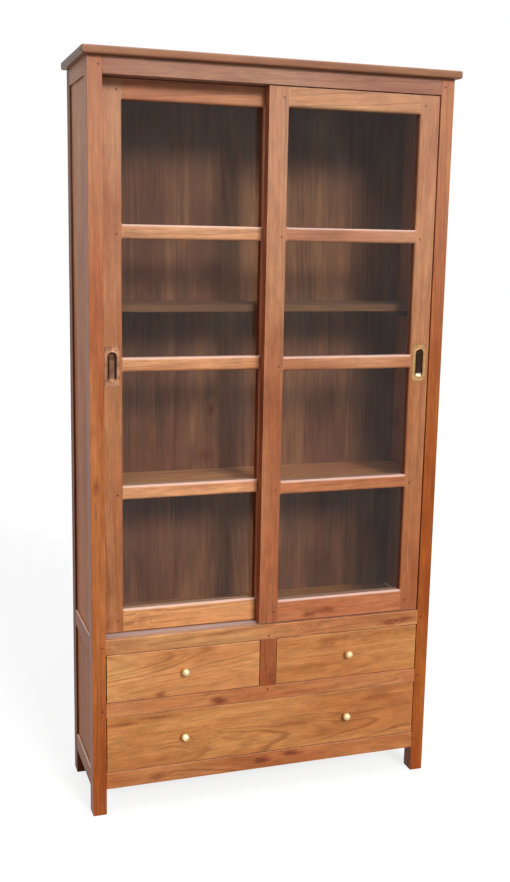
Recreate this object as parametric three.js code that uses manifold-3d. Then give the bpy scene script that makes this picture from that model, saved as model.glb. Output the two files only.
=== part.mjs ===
// A solid wood bookcase: two sliding glass doors over three drawers. Millimetres, +Z up.
// In the case's frame X runs across the front from its middle, Y runs back from the front of the posts,
// and Z rises from the floor.
import * as THREE from 'three';
import { mergeVertices } from 'three/addons/utils/BufferGeometryUtils.js';
import Module from 'manifold-3d';

const wasm = await Module();
wasm.setup();

// Clearance between pieces that are fixed together, how far joined shapes run into each other,
// and how far a cut runs past a face
const seat = 0.3;
const lap = 0.2;
const overrun = 1;

// Case
const caseWidth = 950;
const caseDepth = 296;
const postHeight = 1905;
const postWidth = 36;
const postDepth = 42;

// Top board
const topThickness = 20;
const topSideOverhang = 15;
const topFrontOverhang = 15;
const topArris = 5;
const topArrisSteps = 3;

// Front rails and the openings between them, from the floor up
const legClearance = 71;
const bottomRailHeight = 45;
const lowerDrawerHeight = 153;
const drawerRailHeight = 39;
const upperDrawerHeight = 132;
const sillRailHeight = 41;
const topRailHeight = 41;
const dividerWidth = 45;

// Tenons of the frame
const tenonShoulder = 6;
const tenonWall = 4;
const frontTenonThickness = 10;
const frontTenonLength = 22;
const dividerTenonLength = 14;
const sideTenonThickness = 8;
const backTenonThickness = 8;

// Sides: rails flush with the posts, and panels recessed behind them
const sideRailThickness = 23;
const panelThickness = 8;
const panelRecess = 5;
const panelTongue = 7;
const panelTenonWall = 2;

// Back: a rail at the top and at the bottom, and a panel of upright boards
const backRailThickness = 22;
const backInset = 10;
const boardCount = 7;
const boardJointWidth = 1.5;
const boardJointDepth = 1.5;

// Sliding tracks
const doorSetback = 5;
const doorPassingGap = 11;
const trackGrooveWidth = 6;
const trackGrooveWall = 4;
const trackClearance = 0.4;
const lowerGrooveDepth = 6;
const upperTongueReach = 7;
const upperLiftRoom = 6;
const doorFloorGap = 3;
const doorHeadGap = 2;
const doorEndGap = 1.5;
const headBoardWall = 19;
const headBoardThickness = 22;

// Doors
const doorThickness = 28;
const stileWidth = 53;
const doorTopRailHeight = 48;
const doorBottomRailHeight = 59;
const barHeight = 35;
const barCount = 3;
const sightArris = 6;
const arcSteps = 3;
const doorTenonThickness = 8;
const doorRailTenonLength = 30;

// Glass, held in grooves around each pane
const glassThickness = 4;
const glassSetback = 10;
const glassGrooveDepth = 8;
const glassPlay = 1;

// Flush pulls
const pullWidth = 38;
const pullHeight = 98;
const pullDrop = 4;
const pullPlateThickness = 2;
const pullProud = 0.8;
const pullCornerRadius = 3;
const recessWidth = 21;
const recessHeight = 73;
const recessDepth = 8;
const pullWall = 1;
const pullCurveSteps = 6;

// Cabinet floor and shelves
const floorThickness = 20;
const shelfThickness = 18;
const upperShelfTop = 1325;
const lowerShelfTop = 856;
const shelfDoorGap = 8;
const cleatHeight = 20;

// Drawers
const drawerGap = 2;
const drawerSetback = 1;
const drawerFrontThickness = 20;
const drawerSideThickness = 12;
const drawerSideInset = 3;
const drawerHeadroom = 10;
const drawerHousing = 10;
const drawerBottomThickness = 6;
const drawerBottomRise = 10;
const drawerBottomTongue = 5;
const drawerBackDrop = 8;

// Runners, guides, stops and kickers for the drawers
const runnerLip = 2;
const guideHeight = 30;
const guideClearance = 1;
const stopThickness = 4;
const stopHeight = 12;
const lowerRunnerThickness = 20;
const kickerReach = 20;

// Knobs
const knobReach = 23;
const knobRise = 3;
const knobHeadRadius = 9.5;
const knobNeckRadius = 4.5;
const knobBaseRadius = 6;
const knobBaseThickness = 2;
const knobStemRadius = 2;
const knobStemLength = 14;
const knobSides = 16;
const knobSteps = 5;

// Ranges along one axis
function around(centre, size) {
  return [centre - size / 2, centre + size / 2];
}

function grown(range, by) {
  return [range[0] - by, range[1] + by];
}

function middle(range) {
  return (range[0] + range[1]) / 2;
}

function span(range) {
  return range[1] - range[0];
}

// A range measured outwards from the middle, on the left (side -1) or on the right (side 1)
function outwards(side, near, far) {
  return side > 0 ? [near, far] : [-far, -near];
}

// Levels
const bottomRailZ = [legClearance, legClearance + bottomRailHeight];
const drawerRailZ = [0, drawerRailHeight].map((z) => z + bottomRailZ[1] + lowerDrawerHeight);
const sillRailZ = [0, sillRailHeight].map((z) => z + drawerRailZ[1] + upperDrawerHeight);
const topRailZ = [postHeight - topRailHeight, postHeight];

// Planes across the width, measured from the middle
const outerX = caseWidth / 2;
const shoulderX = outerX - postWidth;
const sideRailX = outerX - sideRailThickness;
const sideTenonX = around(outerX - sideRailThickness / 2, sideTenonThickness);
const panelX = [outerX - panelRecess - panelThickness, outerX - panelRecess];

// Planes through the depth
const frontTrackY = doorSetback + doorThickness / 2;
const rearTrackY = frontTrackY + doorThickness + doorPassingGap;
const frontRailY = [0, frontTrackY + trackGrooveWidth / 2 + trackGrooveWall];
const frontTenonY = around(middle(frontRailY), frontTenonThickness);
const backPostY = [caseDepth - postDepth, caseDepth];
const backRailY = [caseDepth - backInset - backRailThickness, caseDepth - backInset];
const backPanelY = around(middle(backRailY), panelThickness);
const betweenPostsY = [postDepth, backPostY[0]];
const shelfY = rearTrackY + doorThickness / 2 + shelfDoorGap;

// Door sizes
const tongueWidth = trackGrooveWidth - 2 * trackClearance;
const upperGrooveDepth = upperTongueReach + upperLiftRoom;
const doorZ = [sillRailZ[1] + doorFloorGap, topRailZ[0] - doorHeadGap];
const doorHeight = span(doorZ);
const doorWidth = shoulderX - doorEndGap + stileWidth / 2;
const doorCentreX = shoulderX - doorEndGap - doorWidth / 2;
const paneHeight = (doorHeight - doorTopRailHeight - doorBottomRailHeight - barCount * barHeight) / (barCount + 1);
const sightX = doorWidth / 2 - stileWidth;

// Drawer sizes
const upperDrawerWidth = shoulderX - dividerWidth / 2;
const upperDrawerX = (shoulderX + dividerWidth / 2) / 2;
const drawerSideOffset = drawerGap + drawerSideInset;
const drawerEndY = backPostY[0] - stopThickness - 2 * seat;
const drawerLength = drawerEndY - drawerSetback;

// Solids
function solidOf(geometry) {
  geometry.deleteAttribute('normal');
  geometry.deleteAttribute('uv');
  const merged = mergeVertices(geometry);
  const corners = merged.index.array;
  const triangles = [];
  for (let i = 0; i < corners.length; i += 3) {
    const [a, b, c] = [corners[i], corners[i + 1], corners[i + 2]];
    if (a !== b && b !== c && c !== a) triangles.push(a, b, c);
  }
  return new wasm.Manifold(new wasm.Mesh({
    numProp: 3,
    vertProperties: merged.attributes.position.array,
    triVerts: Uint32Array.from(triangles),
  }));
}

function join(solids) {
  return solids.reduce((whole, solid) => whole.add(solid));
}

function cut(solid, tools) {
  return tools.reduce((rest, tool) => rest.subtract(tool), solid);
}

function box(x, y, z) {
  const geometry = new THREE.BoxGeometry(span(x), span(y), span(z));
  geometry.translate(middle(x), middle(y), middle(z));
  return solidOf(geometry);
}

// A box kept as three ranges: its solid, and the room that a neighbour leaves for it
function fill(space) {
  return box(space.x, space.y, space.z);
}

function room(space) {
  return box(grown(space.x, seat), grown(space.y, seat), grown(space.z, seat));
}

function extruded(outline, depth) {
  const shape = new THREE.Shape(outline.map(([a, b]) => new THREE.Vector2(a, b)));
  return new THREE.ExtrudeGeometry(shape, { depth, bevelEnabled: false });
}

// A length of wood along X with a section of [y, z] points
function alongX(outline, x) {
  const geometry = extruded(outline, span(x));
  const turn = new THREE.Matrix4().makeBasis(
    new THREE.Vector3(0, 1, 0),
    new THREE.Vector3(0, 0, 1),
    new THREE.Vector3(1, 0, 0),
  );
  geometry.applyMatrix4(turn);
  geometry.translate(x[0], 0, 0);
  return solidOf(geometry);
}

// A solid through the depth with a front view of [x, z] points
function alongY(outline, y) {
  const geometry = extruded(outline, span(y));
  geometry.rotateX(Math.PI / 2);
  geometry.translate(0, y[1], 0);
  return solidOf(geometry);
}

// A board with a plan of [x, y] points
function slab(outline, z) {
  const geometry = extruded(outline, span(z));
  geometry.translate(0, 0, z[0]);
  return solidOf(geometry);
}

// A turned solid that stands out towards the front from the plane at y, from [radius, reach] points
function turned(profile, x, y, z, sides) {
  const points = profile.map(([radius, reach]) => new THREE.Vector2(radius, reach));
  const geometry = new THREE.LatheGeometry(points, sides);
  geometry.rotateZ(Math.PI);
  geometry.translate(x, y, z);
  return solidOf(geometry);
}

function arc(centre, radius, from, to, steps) {
  return Array.from({ length: steps + 1 }, (_, i) => {
    const angle = from + ((to - from) * i) / steps;
    return [centre[0] + radius * Math.cos(angle), centre[1] + radius * Math.sin(angle)];
  });
}

// Materials
const frameTone = 0xb5733f;
const railTone = 0xc48450;
const panelTone = 0x9c6a45;
const innerTone = 0x8a5a38;
const drawerTone = 0xc98a52;

function wood(color) {
  return new THREE.MeshStandardMaterial({ color, roughness: 0.45, metalness: 0 });
}

function brass() {
  return new THREE.MeshStandardMaterial({ color: 0xb8965a, roughness: 0.3, metalness: 1 });
}

function clearGlass() {
  return new THREE.MeshStandardMaterial({
    color: 0xdfe8e6,
    roughness: 0.05,
    metalness: 0,
    transparent: true,
    opacity: 0.3,
  });
}

function piece(name, solid, material) {
  const { vertProperties, triVerts } = solid.getMesh();
  const geometry = new THREE.BufferGeometry();
  geometry.setAttribute('position', new THREE.BufferAttribute(vertProperties, 3));
  geometry.setIndex(new THREE.BufferAttribute(triVerts, 1));
  geometry.computeVertexNormals();
  const mesh = new THREE.Mesh(geometry, material);
  mesh.name = name;
  return mesh;
}

// Front rails and the divider between the upper drawers
const frontRailLevels = [bottomRailZ, drawerRailZ, sillRailZ, topRailZ];

function frontTenon(side, z) {
  return {
    x: outwards(side, shoulderX - lap, shoulderX + frontTenonLength),
    y: frontTenonY,
    z: grown(z, -tenonShoulder),
  };
}

const dividerTenon = {
  x: grown(around(0, dividerWidth), -tenonShoulder),
  y: frontTenonY,
  z: [drawerRailZ[1] - dividerTenonLength, sillRailZ[0] + dividerTenonLength],
};

function frontRail(z, cuts) {
  const body = box([-shoulderX, shoulderX], frontRailY, z);
  const tenons = [-1, 1].map((side) => fill(frontTenon(side, z)));
  return join([cut(body, cuts), ...tenons]);
}

function drawerDivider() {
  const body = box(around(0, dividerWidth), frontRailY, grown([drawerRailZ[1], sillRailZ[0]], -seat));
  return join([body, fill(dividerTenon)]);
}

// A door's groove, from the case's one post to the other
function trackGroove(trackY, z) {
  return box(grown([-shoulderX, shoulderX], overrun), around(trackY, trackGrooveWidth), z);
}

function lowerGroove(trackY) {
  return trackGroove(trackY, [sillRailZ[1] - lowerGrooveDepth, sillRailZ[1] + overrun]);
}

function upperGroove(trackY) {
  return trackGroove(trackY, [topRailZ[0] - overrun, topRailZ[0] + upperGrooveDepth]);
}

function sillRail() {
  return frontRail(sillRailZ, [lowerGroove(frontTrackY), room(dividerTenon)]);
}

// The front top rail carries a board behind it for the rear door's groove
function frontTopRail() {
  const y = [frontRailY[1] - lap, rearTrackY + trackGrooveWidth / 2 + headBoardWall];
  const board = box(grown([-shoulderX, shoulderX], -seat), y, [topRailZ[0], topRailZ[0] + headBoardThickness]);
  const head = join([frontRail(topRailZ, []), board]);
  return cut(head, [upperGroove(frontTrackY), upperGroove(rearTrackY)]);
}

// Sides
const sideRailLevels = { bottom: bottomRailZ, middle: sillRailZ, top: topRailZ };
const sidePanelLevels = {
  lower: [bottomRailZ[1], sillRailZ[0]],
  upper: [sillRailZ[1], topRailZ[0]],
};
const panelShoulder = panelTongue + panelTenonWall;

function sideTenons(side, z) {
  return {
    x: outwards(side, sideTenonX[0], sideTenonX[1]),
    y: [frontTenonY[1] + tenonWall, backPostY[1] - frontTenonY[1] - tenonWall],
    z: grown(z, -panelShoulder),
  };
}

function sidePanelSpace(side, z) {
  return {
    x: outwards(side, panelX[0], panelX[1]),
    y: grown(betweenPostsY, panelTongue),
    z: grown(z, panelTongue),
  };
}

function sidePanelRooms(side) {
  return Object.values(sidePanelLevels).map((z) => room(sidePanelSpace(side, z)));
}

function sideRail(side, z, runner = []) {
  const body = box(outwards(side, sideRailX, outerX), grown(betweenPostsY, -seat), z);
  return join([cut(join([body, fill(sideTenons(side, z))]), sidePanelRooms(side)), ...runner]);
}

// Back
const backRailLevels = [bottomRailZ, topRailZ];
const backTenonLength = sideTenonX[0] - shoulderX - tenonWall;

function backTenon(z) {
  return {
    x: grown([-shoulderX, shoulderX], backTenonLength),
    y: around(middle(backRailY), backTenonThickness),
    z: grown(z, -panelShoulder),
  };
}

const backPanelSpace = {
  x: grown([-shoulderX, shoulderX], panelTongue),
  y: backPanelY,
  z: [bottomRailZ[1] - panelTongue, topRailZ[0] + panelTongue],
};

function backRail(z) {
  const body = box(grown([-shoulderX, shoulderX], -seat), backRailY, z);
  return cut(join([body, fill(backTenon(z))]), [room(backPanelSpace)]);
}

// Upright boards joined edge to edge, with a shallow line at each joint on both faces
function backPanel() {
  const { x, y, z } = backPanelSpace;
  const pitch = span(x) / boardCount;
  const joints = Array.from({ length: boardCount - 1 }, (_, i) => {
    const jointX = around(x[0] + (i + 1) * pitch, boardJointWidth);
    return [
      box(jointX, [y[0] - overrun, y[0] + boardJointDepth], grown(z, overrun)),
      box(jointX, [y[1] - boardJointDepth, y[1] + overrun], grown(z, overrun)),
    ];
  });
  return cut(fill(backPanelSpace), joints.flat());
}

// Posts, with the mortises and grooves of every piece that meets them
function sideJointRooms(side) {
  const mortises = Object.values(sideRailLevels).map((z) => room(sideTenons(side, z)));
  return [...mortises, ...sidePanelRooms(side)];
}

function frontPost(side) {
  const blank = box(outwards(side, shoulderX, outerX), [0, postDepth], [0, postHeight]);
  const mortises = frontRailLevels.map((z) => room(frontTenon(side, z)));
  return cut(blank, [...mortises, ...sideJointRooms(side)]);
}

function backPost(side) {
  const blank = box(outwards(side, shoulderX, outerX), backPostY, [0, postHeight]);
  const mortises = backRailLevels.map((z) => room(backTenon(z)));
  return cut(blank, [...mortises, ...sideJointRooms(side), room(backPanelSpace)]);
}

// Top board with its edges rounded
function topBoard() {
  const x = grown([-outerX, outerX], topSideOverhang - topArris);
  const y = grown([-topFrontOverhang, caseDepth], -topArris);
  const plan = [[x[0], y[0]], [x[1], y[0]], [x[1], y[1]], [x[0], y[1]]];
  const geometry = new THREE.ExtrudeGeometry(new THREE.Shape(plan.map(([a, b]) => new THREE.Vector2(a, b))), {
    depth: topThickness - seat - 2 * topArris,
    bevelThickness: topArris,
    bevelSize: topArris,
    bevelSegments: topArrisSteps,
  });
  geometry.translate(0, 0, postHeight + seat + topArris);
  return solidOf(geometry);
}

// A board that fits round the posts: its ends reach endX beside them
function notchedBoard(frontY, endX, z) {
  const x = shoulderX - seat;
  const [y0, y1] = grown(betweenPostsY, -seat);
  const backY = backPanelY[0] - seat;
  const front = frontY < y0 ? [[x, frontY], [x, y0], [endX, y0]] : [[endX, frontY]];
  const right = [...front, [endX, y1], [x, y1], [x, backY]];
  const left = right.map(([px, py]) => [-px, py]).reverse();
  return slab([...right, ...left], z);
}

// Runners: a bed under each drawer side, a guide beside it and a stop behind it
const runnerInnerX = shoulderX - drawerSideOffset - drawerSideThickness - runnerLip;
const runnerOuterX = sideRailX - seat;
const sideGuideX = shoulderX - drawerSideOffset + guideClearance;
const runnerY = grown(betweenPostsY, -seat);
const stopY = [drawerEndY + seat, runnerY[1]];
const centreRunnerY = [frontRailY[1] - lap, backPanelY[0] - seat];

function sideRunner(side, bedZ) {
  const top = bedZ[1];
  return [
    box(outwards(side, runnerInnerX, runnerOuterX), runnerY, bedZ),
    box(outwards(side, sideGuideX, runnerOuterX), runnerY, [top - lap, top + guideHeight]),
    box(outwards(side, runnerInnerX, sideGuideX + lap), stopY, [top - lap, top + stopHeight]),
  ];
}

function centreRunner() {
  const top = drawerRailZ[1];
  const bedX = dividerWidth / 2 + drawerSideOffset + drawerSideThickness + runnerLip;
  const guideX = dividerWidth / 2 + drawerSideOffset - guideClearance;
  const guideY = [frontRailY[1] + seat, centreRunnerY[1]];
  return [
    box([-bedX, bedX], centreRunnerY, drawerRailZ),
    box([-guideX, guideX], guideY, [top - lap, top + guideHeight]),
    box([-bedX, bedX], [stopY[0], centreRunnerY[1]], [top - lap, top + stopHeight]),
  ];
}

// The rail under the upper drawers and the three runners tenoned into it, glued up as one frame
function drawerRailFrame() {
  const links = [-1, 1].map((side) => box(
    outwards(side, runnerInnerX, shoulderX - seat),
    [frontRailY[1] - lap, runnerY[0] + lap],
    drawerRailZ,
  ));
  const runners = [-1, 1].flatMap((side) => sideRunner(side, drawerRailZ));
  return join([frontRail(drawerRailZ, [room(dividerTenon)]), ...links, ...runners, ...centreRunner()]);
}

// The runner of the lower drawer is glued to the bottom side rail
function lowerRunner(side) {
  const bedZ = [bottomRailZ[1] - lowerRunnerThickness, bottomRailZ[1]];
  const link = box(outwards(side, runnerOuterX - lap, sideRailX + lap), runnerY, bedZ);
  return [link, ...sideRunner(side, bedZ)];
}

// Cabinet floor with the rear door's groove, and the kickers under it that keep the drawers level
function cabinetFloor() {
  const z = [sillRailZ[1] - floorThickness, sillRailZ[1]];
  const board = notchedBoard(frontRailY[1] + seat, runnerOuterX, z);
  const kickerZ = [sillRailZ[0], z[0] + lap];
  const sides = [-1, 1].map((side) => box(outwards(side, runnerInnerX, runnerOuterX), runnerY, kickerZ));
  const centre = box([-kickerReach, kickerReach], [frontRailY[1] + seat, centreRunnerY[1]], kickerZ);
  return cut(join([board, ...sides, centre]), [lowerGroove(rearTrackY)]);
}

// A shelf fixed on the cleats that run from post to post under its ends
function shelf(top) {
  const z = [top - shelfThickness, top];
  const endX = panelX[0] - seat;
  const cleats = [-1, 1].map((side) => box(
    outwards(side, shoulderX + seat, endX),
    runnerY,
    [z[0] - cleatHeight, z[0] + lap],
  ));
  return join([notchedBoard(shelfY, endX, z), ...cleats]);
}

// Doors, in a frame at the middle of the door's lower edge, on its front face
const doorRailZ = { bottom: [0, doorBottomRailHeight], top: [doorHeight - doorTopRailHeight, doorHeight] };
const doorTenonY = [glassSetback, glassSetback + doorTenonThickness];
const doorTongueY = around(doorThickness / 2, tongueWidth);
const doorTongueZ = {
  bottom: [seat - lowerGrooveDepth - doorFloorGap, lap],
  top: [doorHeight - lap, doorHeight + doorHeadGap + upperTongueReach],
};
const barTenonLength = stileWidth / 2 - recessWidth / 2 - pullWall - tenonWall;
const railX = grown([-sightX, sightX], -seat);

function paneZ(index) {
  const start = doorBottomRailHeight + index * (paneHeight + barHeight);
  return [start, start + paneHeight];
}

function barZ(index) {
  return [paneZ(index)[1], paneZ(index + 1)[0]];
}

const panes = Array.from({ length: barCount + 1 }, (_, i) => i);
const bars = Array.from({ length: barCount }, (_, i) => i);

function glassGrooves() {
  const y = [glassSetback, glassSetback + glassThickness + 2 * seat];
  return panes.map((i) => box(grown([-sightX, sightX], glassGrooveDepth), y, grown(paneZ(i), glassGrooveDepth)));
}

function glassPane(index) {
  const reach = glassGrooveDepth - glassPlay;
  const y = [glassSetback + seat, glassSetback + seat + glassThickness];
  return box(grown([-sightX, sightX], reach), y, grown(paneZ(index), reach));
}

function doorTenon(end, z, reach) {
  return { x: outwards(end, sightX - seat - lap, sightX + reach), y: doorTenonY, z };
}

// The tenon stays clear of the glass groove along the rail's inner edge
const railTenonZ = {
  bottom: [tenonShoulder, doorBottomRailHeight - glassGrooveDepth],
  top: [doorHeight - doorTopRailHeight + glassGrooveDepth, doorHeight - tenonShoulder],
};

function barTenon(end, index) {
  return doorTenon(end, grown(barZ(index), -glassGrooveDepth), barTenonLength);
}

function doorMortises(end) {
  const rails = Object.values(railTenonZ).map((z) => room(doorTenon(end, z, doorRailTenonLength)));
  return [...rails, ...bars.map((i) => room(barTenon(end, i)))];
}

// A section of [y, z] points whose front arrises beside the glass are rounded
function railSection(z, roundBelow, roundAbove) {
  const below = [sightArris, z[0] + sightArris];
  const above = [sightArris, z[1] - sightArris];
  return [
    ...(roundBelow ? arc(below, sightArris, Math.PI, 1.5 * Math.PI, arcSteps) : [[0, z[0]]]),
    [doorThickness, z[0]],
    [doorThickness, z[1]],
    ...(roundAbove ? arc(above, sightArris, 0.5 * Math.PI, Math.PI, arcSteps) : [[0, z[1]]]),
  ];
}

function doorRail(place) {
  const section = railSection(doorRailZ[place], place === 'top', place === 'bottom');
  const tenons = [-1, 1].map((end) => fill(doorTenon(end, railTenonZ[place], doorRailTenonLength)));
  const tongue = box(railX, doorTongueY, doorTongueZ[place]);
  return join([cut(alongX(section, railX), glassGrooves()), tongue, ...tenons]);
}

function glazingBar(index) {
  const body = cut(alongX(railSection(barZ(index), true, true), railX), glassGrooves());
  return join([body, ...[-1, 1].map((end) => fill(barTenon(end, index)))]);
}

// What the rounding beside each pane takes off a stile
function stileRoundings(end) {
  const curve = arc([sightX + sightArris, sightArris], sightArris, Math.PI, 1.5 * Math.PI, arcSteps);
  const inside = sightX - overrun;
  const outline = [[inside, sightArris], ...curve, [sightX + sightArris, -overrun], [inside, -overrun]];
  return panes.map((i) => slab(outline.map(([x, y]) => [end * x, y]), paneZ(i)));
}

function stile(end, fittings = []) {
  const x = outwards(end, sightX, sightX + stileWidth);
  const tongues = Object.values(doorTongueZ).map((z) => box(x, doorTongueY, z));
  const blank = join([box(x, [0, doorThickness], [0, doorHeight]), ...tongues]);
  return cut(blank, [...glassGrooves(), ...stileRoundings(end), ...doorMortises(end), ...fittings]);
}

// Flush pull in the outer stile: a plate and a cup with round ends
const pullPlateY = [-pullProud, pullPlateThickness - pullProud];
const cupY = [-pullProud, recessDepth - pullProud + pullWall];

function pullCentre(side) {
  return [side * (sightX + stileWidth / 2), middle(barZ(Math.floor(barCount / 2))) - pullDrop];
}

function roundEnded(width, height, centre, y) {
  const radius = width / 2;
  const straight = height / 2 - radius;
  const outline = [
    ...arc([centre[0], centre[1] + straight], radius, 0, Math.PI, pullCurveSteps),
    ...arc([centre[0], centre[1] - straight], radius, Math.PI, 2 * Math.PI, pullCurveSteps),
  ];
  return alongY(outline, y);
}

function roundedPlate(centre) {
  const across = pullWidth / 2 - pullCornerRadius;
  const up = pullHeight / 2 - pullCornerRadius;
  const corners = [[1, 1], [-1, 1], [-1, -1], [1, -1]];
  const outline = corners.flatMap(([sx, sz], i) => arc(
    [centre[0] + sx * across, centre[1] + sz * up],
    pullCornerRadius,
    (i * Math.PI) / 2,
    ((i + 1) * Math.PI) / 2,
    arcSteps,
  ));
  return alongY(outline, pullPlateY);
}

function pull(side) {
  const centre = pullCentre(side);
  const cup = roundEnded(recessWidth + 2 * pullWall, recessHeight + 2 * pullWall, centre, cupY);
  const hollow = roundEnded(recessWidth, recessHeight, centre, [cupY[0] - overrun, cupY[1] - pullWall]);
  return cut(join([roundedPlate(centre), cup]), [hollow]);
}

function pullRooms(side) {
  const [x, z] = pullCentre(side);
  const wall = pullWall + seat;
  const plate = { x: around(x, pullWidth), y: pullPlateY, z: around(z, pullHeight) };
  return [
    room(plate),
    box(around(x, recessWidth + 2 * wall), [0, cupY[1] + seat], around(z, recessHeight + 2 * wall)),
  ];
}

function door(name, side, trackY) {
  const group = new THREE.Group();
  group.add(
    piece(`${name}_outer_stile`, stile(side, pullRooms(side)), wood(railTone)),
    piece(`${name}_inner_stile`, stile(-side), wood(railTone)),
    piece(`${name}_top_rail`, doorRail('top'), wood(railTone)),
    piece(`${name}_bottom_rail`, doorRail('bottom'), wood(railTone)),
    ...bars.map((i) => piece(`${name}_bar_${i + 1}`, glazingBar(i), wood(railTone))),
    ...panes.map((i) => piece(`${name}_pane_${i + 1}`, glassPane(i), clearGlass())),
    piece(`${name}_pull`, pull(side), brass()),
  );
  group.position.set(side * doorCentreX, trackY - doorThickness / 2, doorZ[0]);
  return group;
}

// Drawers, in a frame at the middle of the opening's lower edge, on the drawer's front face
function drawerSpaces(width, height) {
  const sideX = width / 2 - drawerSideOffset;
  const innerX = sideX - drawerSideThickness;
  const sideZ = [seat, height - drawerHeadroom];
  const bottomZ = [sideZ[0] + drawerBottomRise, sideZ[0] + drawerBottomRise + drawerBottomThickness];
  const sides = [-1, 1].map((side) => ({
    x: outwards(side, innerX, sideX),
    y: [drawerFrontThickness - drawerHousing, drawerLength],
    z: sideZ,
  }));
  const bottom = {
    x: grown([-innerX, innerX], drawerBottomTongue),
    y: [drawerFrontThickness - drawerBottomTongue, drawerLength - lap],
    z: bottomZ,
  };
  const back = {
    x: grown([-innerX, innerX], lap),
    y: [drawerLength - drawerSideThickness, drawerLength],
    z: [bottomZ[0], sideZ[1] - drawerBackDrop],
  };
  return { sides, bottom, back };
}

// Two sides, a back and a bottom, glued up as one tray
function drawerTray(width, height) {
  const { sides, bottom, back } = drawerSpaces(width, height);
  return join([...sides, bottom, back].map(fill));
}

function drawerFront(width, height, knobPlaces) {
  const { sides, bottom } = drawerSpaces(width, height);
  const blank = box(
    grown(around(0, width), -drawerGap),
    [0, drawerFrontThickness],
    grown([0, height], -drawerGap),
  );
  const holes = knobPlaces.map(([x, z]) => stemRoom(x, z));
  return cut(blank, [...sides.map(room), room(bottom), ...holes]);
}

function stemRoom(x, z) {
  const radius = knobStemRadius + seat;
  const depth = knobStemLength + seat;
  return turned([[0, -depth], [radius, -depth], [radius, overrun], [0, overrun]], x, 0, z, knobSides);
}

function knob(x, z) {
  const neckAngle = -Math.acos(knobNeckRadius / knobHeadRadius);
  const head = arc([0, knobReach - knobHeadRadius], knobHeadRadius, neckAngle, Math.PI / 2, knobSteps);
  const profile = [
    [0, -knobStemLength],
    [knobStemRadius, -knobStemLength],
    [knobStemRadius, seat],
    [knobBaseRadius, seat],
    [knobBaseRadius, seat + knobBaseThickness],
    [knobNeckRadius, seat + knobBaseThickness],
    ...head.slice(0, -1),
    [0, knobReach],
  ];
  return turned(profile, x, 0, z, knobSides);
}

function drawer(name, centreX, width, z, knobs) {
  const height = span(z);
  const places = Object.values(knobs).map((x) => [x, height / 2 + knobRise]);
  const group = new THREE.Group();
  group.add(
    piece(`${name}_front`, drawerFront(width, height, places), wood(drawerTone)),
    piece(`${name}_tray`, drawerTray(width, height), wood(innerTone)),
    ...Object.keys(knobs).map((knobName, i) => piece(`${name}_${knobName}`, knob(...places[i]), brass())),
  );
  group.position.set(centreX, drawerSetback, z[0]);
  return group;
}

function drawers() {
  const upperZ = [drawerRailZ[1], sillRailZ[0]];
  const lowerZ = [bottomRailZ[1], drawerRailZ[0]];
  return [
    drawer('upper_left_drawer', -upperDrawerX, upperDrawerWidth, upperZ, { knob: 0 }),
    drawer('upper_right_drawer', upperDrawerX, upperDrawerWidth, upperZ, { knob: 0 }),
    drawer('lower_drawer', 0, 2 * shoulderX, lowerZ, { left_knob: -upperDrawerX, right_knob: upperDrawerX }),
  ];
}

function side(name, sign) {
  const { bottom, middle: centre, top } = sideRailLevels;
  const { lower, upper } = sidePanelLevels;
  return [
    piece(`${name}_side_bottom_rail`, sideRail(sign, bottom, lowerRunner(sign)), wood(frameTone)),
    piece(`${name}_side_middle_rail`, sideRail(sign, centre), wood(frameTone)),
    piece(`${name}_side_top_rail`, sideRail(sign, top), wood(frameTone)),
    piece(`${name}_side_lower_panel`, fill(sidePanelSpace(sign, lower)), wood(panelTone)),
    piece(`${name}_side_upper_panel`, fill(sidePanelSpace(sign, upper)), wood(panelTone)),
    piece(`${name}_front_post`, frontPost(sign), wood(frameTone)),
    piece(`${name}_back_post`, backPost(sign), wood(frameTone)),
  ];
}

function casework() {
  const group = new THREE.Group();
  group.add(
    piece('top_board', topBoard(), wood(frameTone)),
    ...side('left', -1),
    ...side('right', 1),
    piece('front_top_rail', frontTopRail(), wood(railTone)),
    piece('sill_rail', sillRail(), wood(railTone)),
    piece('drawer_rail_frame', drawerRailFrame(), wood(railTone)),
    piece('bottom_front_rail', frontRail(bottomRailZ, []), wood(railTone)),
    piece('drawer_divider', drawerDivider(), wood(railTone)),
    piece('back_top_rail', backRail(topRailZ), wood(frameTone)),
    piece('back_bottom_rail', backRail(bottomRailZ), wood(frameTone)),
    piece('back_panel', backPanel(), wood(innerTone)),
    piece('cabinet_floor', cabinetFloor(), wood(innerTone)),
    piece('upper_shelf', shelf(upperShelfTop), wood(innerTone)),
    piece('lower_shelf', shelf(lowerShelfTop), wood(innerTone)),
  );
  return group;
}

const bookcase = new THREE.Group();
bookcase.name = 'bookcase';
bookcase.add(
  casework(),
  door('left_door', -1, rearTrackY),
  door('right_door', 1, frontTrackY),
  ...drawers(),
);

// The origin is on the floor under the middle of the whole, knobs included
bookcase.position.y = -(caseDepth - (knobReach - drawerSetback)) / 2;

export default bookcase;
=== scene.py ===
# Looks of the bookcase: solid hardwood with sliding glass doors and brass fittings
import math
import random

import bmesh
import bpy
from mathutils import Euler, Matrix, Vector


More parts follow.
